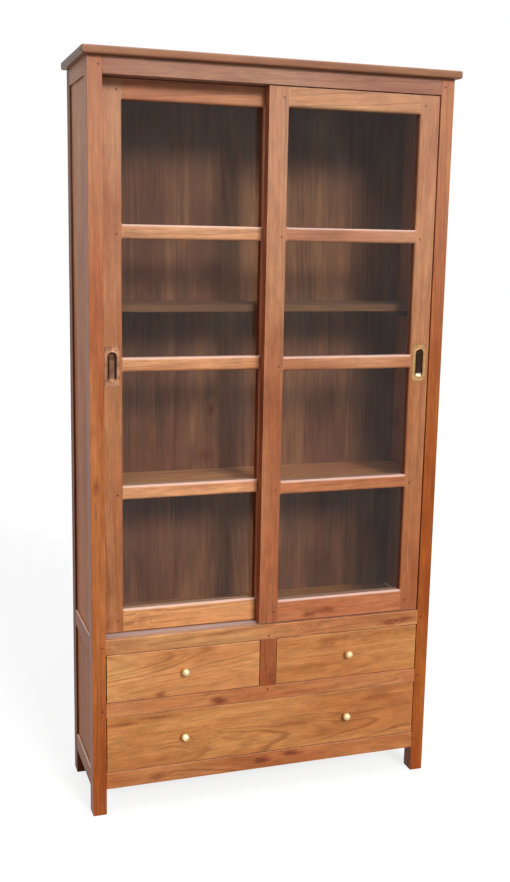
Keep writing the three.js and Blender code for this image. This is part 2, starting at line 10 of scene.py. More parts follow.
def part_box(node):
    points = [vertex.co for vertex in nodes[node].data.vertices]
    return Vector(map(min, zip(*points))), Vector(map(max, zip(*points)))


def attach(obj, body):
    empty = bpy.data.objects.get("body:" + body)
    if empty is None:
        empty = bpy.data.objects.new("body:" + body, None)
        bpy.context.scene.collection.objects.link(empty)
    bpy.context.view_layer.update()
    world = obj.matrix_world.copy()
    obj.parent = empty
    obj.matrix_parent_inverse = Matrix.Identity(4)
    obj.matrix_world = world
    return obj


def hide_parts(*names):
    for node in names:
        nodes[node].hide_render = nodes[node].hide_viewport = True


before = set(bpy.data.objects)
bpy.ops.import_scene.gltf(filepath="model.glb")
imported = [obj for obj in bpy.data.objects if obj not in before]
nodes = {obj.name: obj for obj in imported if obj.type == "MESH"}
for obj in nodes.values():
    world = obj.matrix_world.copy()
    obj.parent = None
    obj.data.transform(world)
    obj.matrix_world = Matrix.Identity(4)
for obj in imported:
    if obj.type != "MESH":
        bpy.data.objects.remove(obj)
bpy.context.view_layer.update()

scene = bpy.context.scene
MM = 0.001

# The case's own frame in millimetres: X from the middle, Y back from the posts' front, Z up from the floor
FRONT_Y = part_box("left_front_post")[0].y


def at(x, y, z):
    """A point of the case's frame, in metres and row axes."""
    return Vector((x * MM, y * MM + FRONT_Y, z * MM))


def tone(red, green, blue):
    """A colour as it is seen on screen, from 0 to 255, as the linear colour of a material."""
    def linear(value):
        value /= 255
        return value / 12.92 if value <= 0.04045 else ((value + 0.055) / 1.055) ** 2.4
    return (linear(red), linear(green), linear(blue), 1.0)


# ---------------------------------------------------------------- node trees
# The output of a vector node that gives a number
NUMBER = 1


class Tree:
    """Short calls that add nodes to a node tree and give back their sockets."""

    def __init__(self, tree):
        self.tree = tree

    def set(self, socket, value):
        if isinstance(value, bpy.types.NodeSocket):
            self.tree.links.new(value, socket)
        else:
            socket.default_value = value

    def add(self, kind, inputs=None, **settings):
        """Adds a node and gives it back. Its inputs go by name or by number."""
        node = self.tree.nodes.new(kind)
        for name, value in settings.items():
            setattr(node, name, value)
        for name, value in (inputs or {}).items():
            self.set(node.inputs[name], value)
        return node

    def math(self, operation, *values, clamp=False):
        node = self.add("ShaderNodeMath", dict(enumerate(values)), operation=operation, use_clamp=clamp)
        return node.outputs[0]

    def vector(self, operation, *values, output=0):
        node = self.add("ShaderNodeVectorMath", dict(enumerate(values)), operation=operation)
        return node.outputs[output]

    def split(self, vector):
        return self.add("ShaderNodeSeparateXYZ", {"Vector": vector}).outputs

    def noise(self, place, stretch, detail=2.0, rough=0.5):
        """Noise from 0 to 1, with a number of patches in a metre along each axis."""
        place = self.vector("MULTIPLY", place, stretch)
        inputs = {"Vector": place, "Scale": 1.0, "Detail": detail, "Roughness": rough}
        return self.add("ShaderNodeTexNoise", inputs).outputs["Fac"]

    def centred(self, *values):
        """Noise about 0."""
        return self.math("SUBTRACT", self.noise(*values), 0.5)

    def between(self, value, low, high, to_low=0.0, to_high=1.0, smooth=True):
        """Takes low to to_low and high to to_high, and holds these beyond them."""
        inputs = {"Value": value, "From Min": low, "From Max": high, "To Min": to_low, "To Max": to_high}
        kind = "SMOOTHSTEP" if smooth else "LINEAR"
        return self.add("ShaderNodeMapRange", inputs, interpolation_type=kind, clamp=True).outputs["Result"]

    def mix(self, factor, first, second, blend="MIX"):
        """Mixes colours. The node repeats its sockets' names for other kinds, so these go by number."""
        sockets = {0: factor, 6: first, 7: second}
        return self.add("ShaderNodeMix", sockets, data_type="RGBA", blend_type=blend).outputs[2]

    def merge(self, factor, first, second):
        """Mixes the shaders of two nodes, and gives back the node."""
        return self.add("ShaderNodeMixShader", {0: factor, 1: first.outputs[0], 2: second.outputs[0]})

    def curve(self, value, stops):
        """Levels from 0 to 1 that run through (place, level) stops."""
        node = self.add("ShaderNodeValToRGB", {"Fac": value})
        ramp = node.color_ramp
        while len(ramp.elements) < len(stops):
            ramp.elements.new(0.5)
        for element, (place, level) in zip(ramp.elements, stops):
            element.position = place
            element.color = (level, level, level, 1)
        return node.outputs["Color"]


def group(name, inputs, outputs):
    tree = bpy.data.node_groups.new(name, "ShaderNodeTree")
    for direction, sockets in (("INPUT", inputs), ("OUTPUT", outputs)):
        for socket, kind in sockets.items():
            tree.interface.new_socket(socket, in_out=direction, socket_type=f"NodeSocket{kind}")
    graph = Tree(tree)
    return graph, graph.add("NodeGroupInput").outputs, graph.add("NodeGroupOutput").inputs


def blank(name):
    material = bpy.data.materials.new(name)
    material.use_nodes = True
    material.node_tree.nodes.clear()
    return material, Tree(material.node_tree)


def surface(graph, shader):
    graph.tree.links.new(shader.outputs[0], graph.add("ShaderNodeOutputMaterial").inputs["Surface"])


# The knots' colour, and the pale tone at the top, which is partly sun fading and partly a painted sheen
KNOT, TOP_FADE_AND_SHEEN = tone(130, 54, 30), tone(228, 190, 176)
# What the wood keeps of red, green and blue where its painted shade near the floor is deepest
LOW_PAINTED_SHADE = (0.72, 0.52, 0.3, 1)


def wood_group():
    """Solid wood in log coordinates: Z runs along the grain, and the growth rings lie round it."""
    colours = {name: "Color" for name in ("Light", "Middle", "Dark", "Red", "Tint", "Film")}
    numbers = ("Rings", "Strength", "Wobble", "Swirl", "Knot", "Wear", "Dust And Sheen", "End", "Level", "Height Shading")
    graph, given, made = group("wood", {"Log": "Vector", **{name: "Float" for name in numbers}, **colours},
                               {"Color": "Color", "Roughness": "Float", "Height": "Float"})
    log = given["Log"]

    def grain(across, along, *more):
        """Noise with a number of patches in a metre across and along the grain."""
        return graph.noise(log, (across, across, along), *more)

    # Growth rings of uneven width, pushed about by the tree's slow bends and by knots
    radius = graph.vector("LENGTH", graph.vector("MULTIPLY", log, (1, 1, 0)), output=NUMBER)
    uneven = {"W": radius, "Scale": 46.0, "Detail": 2.0}
    spacing = graph.add("ShaderNodeTexNoise", uneven, noise_dimensions="1D").outputs["Fac"]
    count = graph.math("MULTIPLY_ADD", spacing, 0.02, radius)
    count = graph.math("MULTIPLY", count, given["Rings"])
    bend = graph.centred(log, (6, 6, 1.9))
    ripple = graph.math("MULTIPLY", graph.centred(log, (30, 30, 9)), 0.22)
    for push in (bend, ripple):
        count = graph.math("MULTIPLY_ADD", push, given["Wobble"], count)
    count = graph.math("ADD", count, given["Swirl"])
    # How dark a ring is, from where a year's growth starts to where it ends
    ring = [(0, 0.4), (0.16, 0.06), (0.5, 0.16), (0.84, 1.0), (1.0, 0.4)]
    late = graph.curve(graph.math("FRACT", count), ring)
    # Each ring is as strong as its year was good
    year = graph.add("ShaderNodeTexWhiteNoise", {"W": graph.math("FLOOR", count)}, noise_dimensions="1D")
    late = graph.math("MULTIPLY", late, graph.between(year.outputs["Value"], 0, 1, 0.15, 1.0, smooth=False))
    late = graph.math("MULTIPLY", late, graph.between(grain(9, 2.6), 0.34, 0.66, 0.25, 1.0))
    # Bands, streaks, fibres, pores and flecks that run with the grain, and broader patches
    band = graph.between(grain(17, 1.1, 2.0, 0.55), 0.36, 0.68)
    streak = graph.between(grain(62, 2.2, 3.0, 0.6), 0.34, 0.66)
    fibre = grain(330, 9, 3.0, 0.6)
    pore = graph.between(grain(900, 34, 1.0), 0.62, 0.74)
    fleck = graph.between(grain(290, 20, 2.0, 0.55), 0.55, 0.68)
    patch = graph.between(grain(4.2, 1.7), 0.4, 0.64)
    mottle = graph.between(grain(8, 3.4, 3.0, 0.6), 0.52, 0.74, 0.0, 0.34)
    cloud = graph.between(grain(44, 15, 3.0, 0.65), 0.3, 0.7, 0.88, 1.1)
    browner = graph.math("MULTIPLY_ADD", streak, 0.55, graph.math("MULTIPLY", band, 0.5))
    colour = graph.mix(browner, given["Light"], given["Middle"])
    colour = graph.mix(graph.math("MULTIPLY", patch, 0.6), colour, given["Red"])
    dark = graph.math("MULTIPLY", late, given["Strength"], clamp=True)
    colour = graph.mix(dark, colour, given["Dark"])
    colour = graph.mix(graph.math("MULTIPLY", given["Knot"], 0.8, clamp=True), colour, KNOT)
    colour = graph.mix(mottle, colour, given["Dark"])
    shade = graph.between(fibre, 0.25, 0.75, 0.82, 1.16, smooth=False)
    for part in (
        graph.between(pore, 0, 1, 1.0, 0.84, smooth=False),
        graph.between(fleck, 0, 1, 1.02, 0.88, smooth=False),
        cloud,
        graph.between(given["Knot"], 0.5, 1, 1.0, 0.78, smooth=False),
        # End grain drinks more finish
        graph.between(given["End"], 0.7, 0.95, 1.0, 0.4),
    ):
        shade = graph.math("MULTIPLY", shade, part)
    # Handling has rubbed the arrises lighter
    worn = graph.math("MULTIPLY", given["Wear"], 0.45)
    colour = graph.mix(worn, colour, given["Light"])
    shade = graph.math("MULTIPLY_ADD", worn, 0.2, shade)
    scaled = graph.add("ShaderNodeVectorMath", {0: colour, "Scale": shade}, operation="SCALE")
    colour = graph.mix(1.0, scaled.outputs[0], given["Tint"], "MULTIPLY")
    # Darker towards the floor as painted shade, and paler towards the top, partly sun fading and partly
    # painted sheen
    deep = graph.between(given["Level"], 0.2, 1.9, 1.0, 0.0, smooth=False)
    deep = graph.math("MULTIPLY", deep, given["Height Shading"])
    colour = graph.mix(deep, colour, LOW_PAINTED_SHADE, "MULTIPLY")
    top_fade_and_sheen = graph.between(given["Level"], 1.0, 1.9, 0.0, 0.15)
    top_fade_and_sheen = graph.math("MULTIPLY", top_fade_and_sheen, given["Height Shading"])
    colour = graph.mix(top_fade_and_sheen, colour, TOP_FADE_AND_SHEEN)
    # Dust, with a painted sheen from above, on the faces that look up
    colour = graph.mix(given["Dust And Sheen"], colour, given["Film"])
    graph.set(made["Color"], colour)
    rough = graph.between(fibre, 0.2, 0.8, 0.36, 0.48, smooth=False)
    rough = graph.math("MULTIPLY_ADD", pore, 0.2, rough)
    graph.set(made["Roughness"], graph.math("MULTIPLY_ADD", given["Wear"], -0.07, rough))
    height = graph.math("MULTIPLY_ADD", pore, -0.8, fibre)
    graph.set(made["Height"], graph.math("MULTIPLY_ADD", late, 0.35, height))
    return graph.tree


def arris_group():
    """How near a point of a board's surface is to one of the board's long edges, from 0 to 1."""
    sockets = {name: "Vector" for name in ("Place", "Middle", "Half")}
    graph, given, made = group("arris", sockets, {"Wear": "Float"})
    away = graph.vector("ABSOLUTE", graph.vector("SUBTRACT", given["Place"], given["Middle"]))
    away = graph.split(graph.vector("SUBTRACT", away, given["Half"]))
    low = graph.math("MINIMUM", away[0], away[1])
    high = graph.math("MAXIMUM", away[0], away[1])
    # Two of the three are 0 on an edge, so the middle one tells how near it is
    second = graph.math("MAXIMUM", low, graph.math("MINIMUM", high, away[2]))
    uneven = graph.noise(given["Place"], (38, 38, 38), 3.0, 0.65)
    reach = graph.between(uneven, 0.3, 0.7, -0.4 * MM, -4.2 * MM, smooth=False)
    graph.set(made["Wear"], graph.between(second, reach, 0.0))
    return graph.tree


WOOD, ARRIS = wood_group(), arris_group()

TONES = {
    # light, middle, dark, red
    "frame": (tone(210, 146, 100), tone(184, 116, 72), tone(118, 60, 32), tone(176, 94, 56)),
    "post": (tone(206, 136, 88), tone(182, 106, 62), tone(120, 58, 30), tone(172, 84, 46)),
    "door": (tone(214, 148, 104), tone(192, 120, 78), tone(122, 64, 38), tone(182, 98, 62)),
    "drawer": (tone(218, 158, 106), tone(196, 130, 80), tone(120, 62, 32), tone(184, 108, 66)),
    "panel": (tone(158, 110, 78), tone(130, 85, 58), tone(74, 42, 28), tone(120, 70, 48)),
    "inner": (tone(178, 122, 84), tone(138, 86, 60), tone(66, 38, 28), tone(116, 64, 48)),
    "shelf": (tone(206, 152, 104), tone(178, 124, 82), tone(110, 70, 46), tone(160, 102, 70)),
    "peg": (tone(150, 86, 52), tone(126, 68, 42), tone(76, 38, 26), tone(112, 56, 34)),
}

# The oil's own colour, over every board
OIL = (0.98, 1.04, 1.12)
# Dust with a painted sheen on faces that look up, and the greyer dust of the sill and the cabinet floor, also
# with a painted sheen
PALE_DUST_AND_SHEEN, GREY_DUST_AND_SHEEN = tone(242, 214, 204), tone(176, 166, 172)
ALONG = {"X": Euler((0, -math.pi / 2, 0)), "Y": Euler((math.pi / 2, 0, 0)), "Z": Euler((0, 0, 0))}
AXES = {"X": (1, 0, 0), "Y": (0, 1, 0), "Z": (0, 0, 1)}

# Knots and swirls of each board: the middle's X, Y and Z, width and height, all in the case's frame, how many
# rings they push aside, and how dark the knot is, which is 0 for a swirl alone
FIGURES = {
    "left_front_post": [(-460, 0, 884, 26, 90, 3, 0.6)],
    "drawer_rail_frame": [(-135, 0, 280, 92, 56, 4, 1.0), (420, 0, 283, 70, 44, 4, 0.3)],
    "sill_rail": [
        (-382, 0, 466, 120, 50, 4, 0.3), (398, 0, 459, 120, 44, 4, 0.8), (352, 0, 453.5, 120, 34, 3, 0.9),
        (115, 0, 466, 80, 34, 3, 0),
    ],
    "bottom_front_rail": [
        (-302, 0, 87, 90, 44, 4, 0.6), (-12, 0, 94, 100, 40, 3, 1.0), (72, 0, 104, 120, 34, 2, 1.0),
        (30, 0, 84, 60, 30, 2, 0.6),
    ],
    "upper_left_drawer_front": [(-296, 1, 317.6, 60, 34, 3, 0.9), (-421, 1, 316, 110, 66, 5, 0)],
    "upper_right_drawer_front": [
        (178, 1, 419, 120, 40, 3, 0.5), (300, 1, 424, 420, 46, 2, 0.45), (160, 1, 400, 200, 40, 2, 0.3),
    ],
    "lower_drawer_front": [
        (-351, 1, 192, 150, 84, 6, 0.1), (-188, 1, 190, 140, 80, 6, 0.1), (-400, 1, 246, 210, 20, 1, 0.7),
        (-310, 1, 255, 250, 18, 1, 0.6), (-190, 1, 262, 220, 16, 1, 0.45), (60, 1, 190, 260, 26, 2, 0.5),
        (330, 1, 236, 260, 30, 2, 0.4),
    ],
    "right_door_bottom_rail": [(116, 5, 498, 80, 36, 3, 0.8), (168, 5, 506, 110, 36, 3, 0.8)],
    "left_door_outer_stile": [(-414, 44, 1602, 60, 330, 7, 0), (-424, 44, 508, 50, 80, 3, 0.5)],
    "left_door_bottom_rail": [(-335, 44, 512, 60, 60, 3, 0.35), (-292, 44, 534, 80, 16, 1, 0.6)],
    "drawer_divider": [(8, 0, 330, 50, 90, 2, 0.5)],
    "back_panel": [(-105, 271, 895, 60, 90, 4, 1.0), (-89, 271, 1022, 46, 80, 4, 1.0)],
}
# How deep they go, and over how much the dust and its painted sheen thin out at their limits, in millimetres
FIGURE_DEPTH, FILM_FADE = 60, 2
# Boards side by side come from places up to this far apart in the log, in metres
BOARD_JUMP = (0.1, 0.05, 9.0)


def wood(name, box, grain, tones, heart, rings=120, strength=0.62, wobble=3.0, tilt=(2, 1), board_width=None,
         tint=(1, 1, 1), pale_film=0.6, gloss=0.2, height_shading=0.7, upward_range=(0.15, 0.85), film=PALE_DUST_AND_SHEEN, film_span=None,
         side_shade=None):
    """Wood for one board. heart is how far the log's heart lies from the board's middle, in metres and row
    axes, and tilt is how many degrees it leans. rings is how many growth rings a metre has. Dust, with a
    painted sheen, lies where the board faces up, all over or from one Y to another. A given colour darkens
    the faces that look left and right, as painted shade."""
    luck = random.Random(name)
    material, graph = blank(name)
    seen = graph.add("ShaderNodeTexCoord").outputs
    place, normal = seen["Object"], seen["Normal"]
    low, high = box
    lean = Euler([math.radians(a + luck.uniform(-0.6, 0.6)) for a in (*tilt, luck.uniform(0, 360))])
    turn = lean.to_matrix() @ ALONG[grain].to_matrix()
    shift = -(turn @ ((low + high) / 2 + Vector(heart)))
    shift.z += luck.uniform(3, 60)
    source = place
    if board_width:
        across = graph.math("SUBTRACT", graph.split(place)[0], low.x)
        index = graph.math("FLOOR", graph.math("DIVIDE", across, board_width))
        chance = graph.add("ShaderNodeTexWhiteNoise", {"W": index}, noise_dimensions="1D").outputs["Color"]
        jump = graph.vector("MULTIPLY", graph.vector("SUBTRACT", chance, (0.5, 0.5, 0.5)), BOARD_JUMP)
        source = graph.vector("ADD", place, jump)
    mapping = {"Vector": source, "Location": shift, "Rotation": turn.to_euler("XYZ")}
    log = graph.add("ShaderNodeMapping", mapping).outputs[0]
    swirl, knot = 0.0, 0.0
    ragged = graph.math("MULTIPLY", graph.centred(place, (70, 70, 110), 2.0, 0.6), 0.65)
    for x, y, z, width, height, push, core in FIGURES.get(name, ()):
        apart = graph.vector("SUBTRACT", place, tuple(at(x, y, z)))
        apart = graph.vector("DIVIDE", apart, (width / 2 * MM, FIGURE_DEPTH / 2 * MM, height / 2 * MM))
        apart = graph.math("ADD", graph.vector("LENGTH", apart, output=NUMBER), ragged)
        swirl = graph.math("ADD", swirl, graph.between(apart, 0, 1, push, 0))
        if core:
            knot = graph.math("ADD", knot, graph.between(apart, 0.05, 0.85, core, 0))
    board = {"Place": place, "Middle": (low + high) / 2, "Half": (high - low) / 2}
    worn = graph.add("ShaderNodeGroup", board, node_tree=ARRIS).outputs["Wear"]
    if film_span:
        depth = graph.split(place)[1]
        front, back = (at(0, y, 0).y for y in film_span)
        pale_film = graph.math("MULTIPLY", graph.between(depth, front, front + FILM_FADE * MM, 0.0, pale_film),
                          graph.between(depth, back - FILM_FADE * MM, back, 1.0, 0.0))
    # Faces that look up get dust and a painted sheen
    dust_and_sheen = graph.between(graph.split(normal)[2], *upward_range, 0.0, pale_film)
    end = graph.math("ABSOLUTE", graph.vector("DOT_PRODUCT", normal, AXES[grain], output=NUMBER))
    values = dict(zip(("Light", "Middle", "Dark", "Red"), TONES[tones]))
    values.update({
        "Log": log, "Rings": float(rings), "Strength": strength, "Wobble": wobble, "Swirl": swirl,
        "Knot": knot, "Wear": worn, "Dust And Sheen": dust_and_sheen, "End": end, "Level": graph.split(place)[2],
        "Height Shading": height_shading, "Tint": (*(a * b for a, b in zip(tint, OIL)), 1.0), "Film": film,
    })
    body = graph.add("ShaderNodeGroup", values, node_tree=WOOD).outputs
    colour = body["Color"]
    # Faces that look left and right are darkened, as painted shade
    if side_shade:
        sideways = graph.between(graph.math("ABSOLUTE", graph.split(normal)[0]), 0.85, 0.98)
        colour = graph.mix(sideways, colour, (*side_shade, 1.0), "MULTIPLY")
    relief = {"Height": body["Height"], "Strength": 0.35, "Distance": 0.4 * MM}
    bump = graph.add("ShaderNodeBump", relief).outputs[0]
    surface(graph, graph.add("ShaderNodeBsdfPrincipled", {
        "Base Color": colour, "Roughness": body["Roughness"], "Normal": bump, "Specular IOR Level": gloss,
    }))
    return material


# A pull's slot in millimetres: half its straight length, and how far from its middle line the grime and
# painted shade thicken
SLOT_STRAIGHT, SLOT_GRIME_AND_SHADE = 26, (4.5, 8)
# The painted glint at the slot's lower end, in place of the sky's reflection: how far below the pull's
# middle, and how far to either side
GLINT_BELOW, GLINT_ASIDE = (26, 33), (6, 8.5)
# Colour of the grime and painted shade in the slot, and of the painted glint at its lower end
GRIME_AND_SHADE, GLINT = tone(40, 28, 24), tone(255, 240, 214)


def brass(name, bright, dull, patina, rough, pull=None, grime_and_shade=0.95, shine=(1, 3)):
    """Old brass: rubbed bright in places and browned in others. pull is a flush pull's X and its stile's
    front. Its slot is dark with grime and painted shade, most of all beside the wall, and its lower end has a
    painted glint: shine is between which depths that brightens."""
    material, graph = blank(name)
    place = graph.add("ShaderNodeTexCoord").outputs["Object"]
    cloud = graph.noise(place, (55, 55, 55), 4.0, 0.6)
    speck = graph.noise(place, (600, 600, 600), 3.0, 0.7)
    scratch = graph.noise(place, (2600, 2600, 160), 2.0, 0.6)
    aged = graph.between(cloud, 0.36, 0.66, 0.0, patina)
    aged = graph.math("MULTIPLY_ADD", graph.between(speck, 0.5, 0.75), patina * 0.5, aged)
    colour = graph.mix(aged, bright, dull)
    if pull:
        middle = at(pull[0], pull[1], PULL_Z)
        apart = graph.split(graph.vector("ABSOLUTE", graph.vector("SUBTRACT", place, tuple(middle))))
        along = graph.math("MAXIMUM", graph.math("SUBTRACT", apart[2], SLOT_STRAIGHT * MM), 0.0)
        aside = graph.math("MULTIPLY", apart[0], apart[0])
        out = graph.math("SQRT", graph.math("MULTIPLY_ADD", along, along, aside))
        deep = graph.math("SUBTRACT", graph.split(place)[1], middle.y)
        # Grime and painted shade, thickest beside the slot's wall
        thick = graph.between(out, SLOT_GRIME_AND_SHADE[0] * MM, SLOT_GRIME_AND_SHADE[1] * MM, grime_and_shade, 1.0)
        grime_and_shade = graph.between(deep, -0.4 * MM, 1.2 * MM, 0.0, thick)
        # A painted glint at the slot's lower end, which also clears the grime there
        top, bottom = (middle.z - below * MM for below in GLINT_BELOW)
        glint = graph.between(graph.split(place)[2], bottom, top, 1.0, 0.0)
        inside = graph.between(apart[0], GLINT_ASIDE[0] * MM, GLINT_ASIDE[1] * MM, 0.95, 0.0)
        glint = graph.math("MULTIPLY", glint, inside)
        grime_and_shade = graph.math("MULTIPLY", grime_and_shade, graph.math("SUBTRACT", 1.0, glint))
        colour = graph.mix(grime_and_shade, colour, GRIME_AND_SHADE)
        glint = graph.math("MULTIPLY", glint, graph.between(deep, shine[0] * MM, shine[1] * MM))
        colour = graph.mix(glint, colour, GLINT)
        aged = graph.math("ADD", aged, grime_and_shade)
    polish = graph.between(scratch, 0.2, 0.8, rough, rough + 0.14, smooth=False)
    bump = graph.add("ShaderNodeBump", {"Height": scratch, "Strength": 0.2, "Distance": 0.1 * MM})
    surface(graph, graph.add("ShaderNodeBsdfPrincipled", {
        "Base Color": colour, "Roughness": graph.math("MULTIPLY_ADD", aged, 0.22, polish),
        "Normal": bump.outputs[0], "Metallic": 1.0,
    }))
    return material


def glass(name):
    """A thin pane: a faint reflection on both faces, and a film of dust that thickens in patches."""
    material, graph = blank(name)
    place = graph.add("ShaderNodeTexCoord").outputs["Object"]
    # Little is reflected straight on, and nearly all at a grazing angle
    facing = graph.add("ShaderNodeLayerWeight", {"Blend": 0.5}).outputs["Facing"]
    reflects = graph.math("MULTIPLY_ADD", graph.math("POWER", facing, 5.0), 0.9, 0.012)
    film = graph.noise(place, (14, 14, 9), 4.0, 0.62)
    clear = graph.add("ShaderNodeBsdfTransparent", {"Color": tone(240, 240, 238)})
    gloss = graph.add("ShaderNodeBsdfPrincipled", {
        "Base Color": (1, 1, 1, 1), "Metallic": 1.0, "Roughness": graph.between(film, 0.3, 0.7, 0.015, 0.05),
    })
    pale_film = graph.add("ShaderNodeBsdfDiffuse", {"Color": tone(196, 188, 176)})
    pane = graph.merge(reflects, clear, gloss)
    surface(graph, graph.merge(graph.between(film, 0.4, 0.75, 0.003, 0.016), pane, pale_film))
    return material


# ---------------------------------------------------------------- meshes
def piece(name, mesh, material, body, replaced=(), smooth=32):
    """Makes a piece of a bmesh, and says what it rides on and which node it stands for. Faces that meet at
    more than smooth degrees keep a sharp edge."""
    data = bpy.data.meshes.new(name)
    bmesh.ops.remove_doubles(mesh, verts=mesh.verts, dist=0.001 * MM)
    bmesh.ops.recalc_face_normals(mesh, faces=mesh.faces)
    mesh.to_mesh(data)
    mesh.free()
    data.materials.append(material)
    data.polygons.foreach_set("use_smooth", [True] * len(data.polygons))
    data.set_sharp_from_angle(angle=math.radians(smooth))
    made = bpy.data.objects.new(name, data)
    scene.collection.objects.link(made)
    made.modifiers.new("normals", "WEIGHTED_NORMAL").keep_sharp = True
    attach(made, body)
    if replaced:
        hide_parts(*replaced)


def loft(mesh, rings):
    """Skins rings of points with the same count, in order, and closes both ends."""
    rows = [[mesh.verts.new(point) for point in ring] for ring in rings]
    count = len(rows[0])
    for first, second in zip(rows, rows[1:]):
        for i in range(count):
            j = (i + 1) % count
            mesh.faces.new((first[i], first[j], second[j], second[i]))
    mesh.faces.new(rows[0])
    mesh.faces.new(rows[-1])


def turned(mesh, profile, x, y, z, sides):
    """Turned solid in front of the plane at y, from (radius, reach) points that start and end on its axis."""
    tips = [mesh.verts.new(at(x, y - reach, z)) for reach in (profile[0][1], profile[-1][1])]
    angles = [2 * math.pi * i / sides for i in range(sides)]
    rows = [
        [mesh.verts.new(at(x + radius * math.cos(a), y - reach, z + radius * math.sin(a))) for a in angles]
        for radius, reach in profile[1:-1]
    ]
    for i in range(sides):
        j = (i + 1) % sides
        mesh.faces.new((tips[0], rows[0][i], rows[0][j]))
        mesh.faces.new((tips[1], rows[-1][j], rows[-1][i]))
        for first, second in zip(rows, rows[1:]):
            mesh.faces.new((first[i], second[i], second[j], first[j]))


def arc(centre, radius, start, end, steps):
    """Points from one angle to another, in degrees."""
    angles = [math.radians(start + (end - start) * i / steps) for i in range(steps + 1)]
    return [(centre[0] + radius * math.cos(a), centre[1] + radius * math.sin(a)) for a in angles]


def rounded_board(mesh, low, high, radius, segments):
    bmesh.ops.create_cube(mesh, size=1)
    for vertex in mesh.verts:
        vertex.co = Vector(low[i] if vertex.co[i] < 0 else high[i] for i in range(3))
    bmesh.ops.bevel(mesh, geom=mesh.edges[:], offset=radius, segments=segments, profile=0.5, affect="EDGES")


# ---------------------------------------------------------------- wood nodes that stay
def ease(node, width):
    """Rubs down the arrises of a CAD node, by a width in millimetres."""
    weld = node.modifiers.new("weld", "WELD")
    weld.merge_threshold = 0.01 * MM
    bevel = node.modifiers.new("arrises", "BEVEL")
    bevel.width = width * MM
    bevel.segments = 2
    bevel.limit_method = "ANGLE"
    bevel.angle_limit = math.radians(40)
    bevel.use_clamp_overlap = False
    node.modifiers.new("normals", "WEIGHTED_NORMAL").keep_sharp = False


BACK_WIDTH, BACK_BOARDS = 0.892, 7
# The side rails' ledges that face up get a near-white film, which is dust and a painted highlight
SIDE = {"gloss": 0.08, "pale_film": 1.0, "height_shading": 1.0, "tint": (1.06, 1.0, 0.76), "film": tone(255, 236, 218)}
# Side panels made much paler than their wood, as a painted sheen in place of the sky they reflect
PANEL_PAINTED_SHEEN = {"gloss": 0.05, "height_shading": 1.4, "tint": (2.65, 2.35, 1.85)}
LOW_PANEL_PAINTED_SHEEN = {"gloss": 0.05, "height_shading": 1.4, "tint": (2.35, 2.05, 1.45)}
# Back posts darkened, as painted shade
BACK_POST_PAINTED_SHADE = {"gloss": 0.06, "pale_film": 0.0, "tint": (0.38, 0.28, 0.24)}
INSIDE = {"height_shading": 0.0, "pale_film": 0.1}
